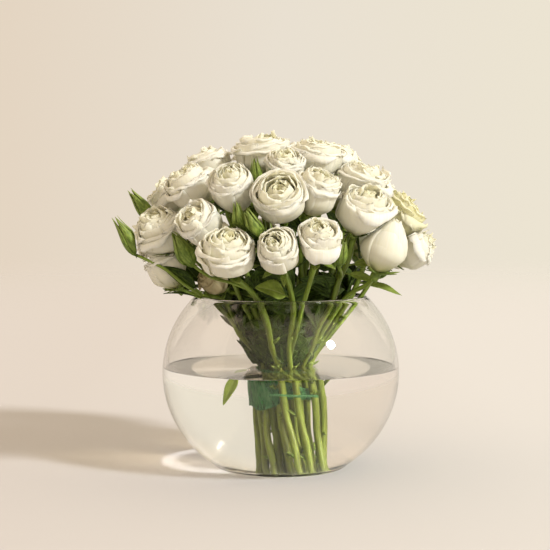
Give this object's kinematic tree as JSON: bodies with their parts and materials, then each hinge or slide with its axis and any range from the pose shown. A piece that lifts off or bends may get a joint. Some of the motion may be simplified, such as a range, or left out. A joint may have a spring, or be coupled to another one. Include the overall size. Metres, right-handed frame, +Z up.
{
  "type": "floral table centerpiece",
  "caption": "Low dome of cream spray roses with buds and leaves, its stems gathered by tape and standing in water in a clear round glass bowl with a flat foot.",
  "frame": {"origin": "centre of the bowl's flat foot, on the table", "axes": "+Z up along the bowl's axis, -Y towards the front of the bouquet, +X to the right as seen from the front"},
  "size_m": [0.2654, 0.2557, 0.2856],
  "materials": {
    "bowl_glass": "clear blown soda-lime glass, polished",
    "water": "clear still water",
    "rose_petal": "soft satin petals, cream, yellow-green towards the base",
    "rose_green": "living green stems, sepals and leaves, satin",
    "floral_tape": "waxed crepe paper tape, wet"
  },
  "bodies": {
    "root": {"bowl": "bowl_glass", "rose_back_crown_left_1": "rose_petal", "rose_back_crown_right_1": "rose_petal", "rose_back_left_1": "rose_petal", "rose_back_left_2": "rose_petal", "rose_back_left_low_1": "rose_petal", "rose_back_left_middle_1": "rose_petal", "rose_back_left_middle_2": "rose_petal", "rose_back_middle_1": "rose_petal", "rose_back_middle_2": "rose_petal", "rose_back_right_1": "rose_petal", "rose_back_right_2": "rose_petal", "rose_back_right_low_1": "rose_petal", "rose_back_right_low_2": "rose_petal", "rose_crown_1": "rose_petal", "rose_front_left_1": "rose_petal", "rose_front_left_2": "rose_petal", "rose_front_left_low_1": "rose_petal", "rose_front_left_low_2": "rose_petal", "rose_front_low_1": "rose_petal", "rose_front_low_2": "rose_petal", "rose_front_middle_1": "rose_petal", "rose_front_middle_2": "rose_petal", "rose_front_right_1": "rose_petal", "rose_front_right_2": "rose_petal", "rose_left_low_1": "rose_petal", "rose_left_low_2": "rose_petal", "rose_left_shoulder_1": "rose_petal", "rose_left_shoulder_2": "rose_petal", "rose_left_side_1": "rose_petal", "rose_left_side_2": "rose_petal", "rose_right_shoulder_1": "rose_petal", "rose_right_side_1": "rose_petal", "rose_right_side_2": "rose_petal", "rose_upper_right_1": "rose_petal", "rose_upper_right_2": "rose_petal", "stem_back_crown_left": "rose_green", "stem_back_crown_right": "rose_green", "stem_back_left": "rose_green", "stem_back_left_low": "rose_green", "stem_back_left_middle": "rose_green", "stem_back_middle": "rose_green", "stem_back_right": "rose_green", "stem_back_right_low": "rose_green", "stem_crown": "rose_green", "stem_front_left": "rose_green", "stem_front_left_low": "rose_green", "stem_front_low": "rose_green", "stem_front_middle": "rose_green", "stem_front_right": "rose_green", "stem_left_low": "rose_green", "stem_left_shoulder": "rose_green", "stem_left_side": "rose_green", "stem_right_shoulder": "rose_green", "stem_right_side": "rose_green", "stem_tape": "floral_tape", "stem_upper_right": "rose_green", "water": "water"}
  },
  "joints": []
}
